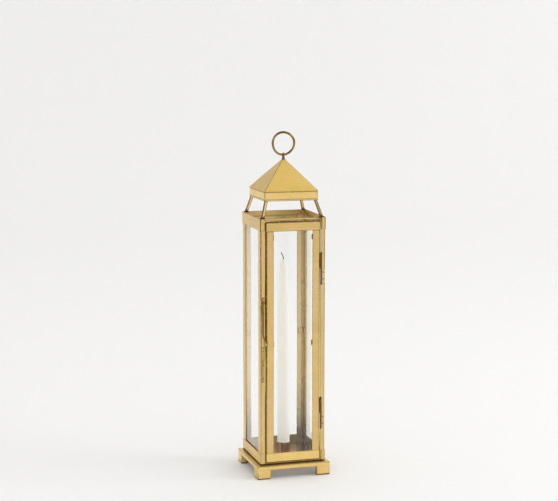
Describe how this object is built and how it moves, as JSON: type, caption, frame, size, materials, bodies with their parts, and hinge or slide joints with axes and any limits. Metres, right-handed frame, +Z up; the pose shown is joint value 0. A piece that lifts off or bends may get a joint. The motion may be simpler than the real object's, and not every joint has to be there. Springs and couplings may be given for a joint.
{
  "type": "hurricane candle lantern",
  "caption": "Tall square brass hurricane lantern: footed base, glazed cabin with hinged latched door, vented pyramid roof with carry ring, and a taper candle in a cup.",
  "frame": {"origin": "centre of the square that the feet stand on, at floor level", "axes": "+Z up along the lantern's height, the door faces -Y and +X is to the right of someone facing the door"},
  "size_m": [0.152, 0.152, 0.6947],
  "materials": {
    "satin_brass": "satin brushed and lightly antiqued",
    "aged_brass": "antiqued, darker in the folds",
    "polished_brass": "polished",
    "clear_glass": "clear float glass",
    "wax": "ivory candle wax, smooth",
    "wick": "braided cotton, waxed and dark",
    "pad": "thin dark foot pads"
  },
  "bodies": {
    "lantern": {"base_tray": "satin_brass", "foot_front_left": "satin_brass", "foot_front_right": "satin_brass", "foot_back_left": "satin_brass", "foot_back_right": "satin_brass", "foot_pads": "pad", "plinth": "aged_brass", "floor_pan": "polished_brass", "lower_collar": "satin_brass", "post_front_left": "satin_brass", "post_front_right": "satin_brass", "post_back_left": "satin_brass", "post_back_right": "satin_brass", "glass_left": "clear_glass", "glass_right": "clear_glass", "glass_back": "clear_glass", "pane_clips_left": "aged_brass", "pane_clips_right": "aged_brass", "pane_clips_back": "aged_brass", "upper_collar": "satin_brass", "strut_front_left": "satin_brass", "strut_front_right": "satin_brass", "strut_back_left": "satin_brass", "strut_back_right": "satin_brass", "roof_band": "satin_brass", "roof_pyramid": "satin_brass", "finial_eye": "satin_brass", "hinge_leaf_post_lower": "satin_brass", "hinge_leaf_post_upper": "satin_brass", "hinge_pin_lower": "aged_brass", "hinge_pin_upper": "aged_brass", "hinge_rivets": "aged_brass", "latch_plate": "aged_brass", "latch_pivot": "aged_brass", "latch_rest": "aged_brass", "latch_rest_rivets": "aged_brass", "candle_cup": "polished_brass"},
    "door": {"door_stile_left": "satin_brass", "door_stile_right": "satin_brass", "door_rail_top": "satin_brass", "door_rail_bottom": "satin_brass", "door_glass": "clear_glass", "door_glass_clips": "aged_brass", "hinge_leaf_door_lower": "satin_brass", "hinge_leaf_door_upper": "satin_brass", "latch_keeper": "satin_brass"},
    "latch": {"latch_arm": "aged_brass"},
    "ring": {"carry_ring": "satin_brass"},
    "candle": {"candle": "wax", "candle_wick": "wick"}
  },
  "joints": [
    {"name": "door_swing", "type": "hinge", "parent": "lantern", "child": "door", "pos_m": [0.058, -0.0696, 0.27575], "axis": [0, 0, 1], "range_deg": [0, 160]},
    {"name": "latch_swing", "type": "hinge", "parent": "lantern", "child": "latch", "pos_m": [-0.0625, -0.0706, 0.36], "axis": [0, 1, 0], "range_deg": [0, 110]},
    {"name": "ring_tilt", "type": "hinge", "parent": "lantern", "child": "ring", "pos_m": [0, 0, 0.6476], "axis": [1, 0, 0], "range_deg": [-125, 125]},
    {"name": "candle_lift", "type": "slide", "parent": "lantern", "child": "candle", "axis": [0, 0, 1], "range_m": [0, 0.03]}
  ]
}
